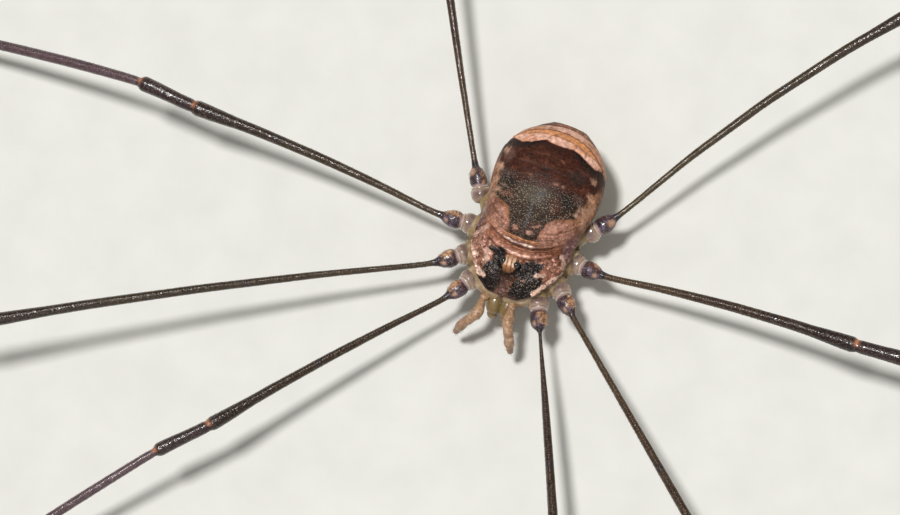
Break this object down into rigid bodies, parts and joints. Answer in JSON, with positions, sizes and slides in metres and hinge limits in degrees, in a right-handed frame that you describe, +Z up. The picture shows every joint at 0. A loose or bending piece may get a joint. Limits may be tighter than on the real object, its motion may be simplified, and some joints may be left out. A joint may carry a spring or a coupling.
{
  "type": "harvestman",
  "caption": "Harvestman with a small oval body and very long thin legs, standing low with its feet flat on the ground.",
  "frame": {"origin": "on the floor, under the middle of the leg span", "axes": "+Z up, -Y the way the head points, +X towards the animal's left"},
  "size_m": [0.0998, 0.0636, 0.0039],
  "materials": {
    "carapace": "coppery brown cuticle with black patches, satin",
    "abdomen": "dark brown saddle with pale bands behind, satin",
    "eye_mound": "golden orange cuticle, satin",
    "eye": "glossy black",
    "coxae": "pale yellow, slightly see-through",
    "chelicera": "pale yellow, satin",
    "palp": "pinkish tan, finely granular",
    "trochanter": "dark purple-brown, satin",
    "femur": "brown, satin",
    "patella": "near black, satin",
    "tibia": "brown, satin",
    "metatarsus": "brown, satin",
    "tarsus": "brown, matt"
  },
  "bodies": {
    "root": {"carapace": "carapace", "abdomen": "abdomen", "eye_mound": "eye_mound", "eye_left": "eye", "eye_right": "eye", "coxae": "coxae", "chelicera_left": "chelicera", "chelicera_right": "chelicera", "palp_left": "palp", "palp_right": "palp", "trochanter_left_1": "trochanter", "femur_left_1": "femur", "patella_left_1": "patella", "tibia_left_1": "tibia", "metatarsus_left_1": "metatarsus", "tarsus_left_1": "tarsus", "trochanter_left_2": "trochanter", "femur_left_2": "femur", "patella_left_2": "patella", "tibia_left_2": "tibia", "metatarsus_left_2": "metatarsus", "tarsus_left_2": "tarsus", "trochanter_left_3": "trochanter", "femur_left_3": "femur", "patella_left_3": "patella", "tibia_left_3": "tibia", "metatarsus_left_3": "metatarsus", "tarsus_left_3": "tarsus", "trochanter_left_4": "trochanter", "femur_left_4": "femur", "patella_left_4": "patella", "tibia_left_4": "tibia", "metatarsus_left_4": "metatarsus", "tarsus_left_4": "tarsus", "trochanter_right_1": "trochanter", "femur_right_1": "femur", "patella_right_1": "patella", "tibia_right_1": "tibia", "metatarsus_right_1": "metatarsus", "tarsus_right_1": "tarsus", "trochanter_right_2": "trochanter", "femur_right_2": "femur", "patella_right_2": "patella", "tibia_right_2": "tibia", "metatarsus_right_2": "metatarsus", "tarsus_right_2": "tarsus", "trochanter_right_3": "trochanter", "femur_right_3": "femur", "patella_right_3": "patella", "tibia_right_3": "tibia", "metatarsus_right_3": "metatarsus", "tarsus_right_3": "tarsus", "trochanter_right_4": "trochanter", "femur_right_4": "femur", "patella_right_4": "patella", "tibia_right_4": "tibia", "metatarsus_right_4": "metatarsus", "tarsus_right_4": "tarsus"}
  },
  "joints": []
}
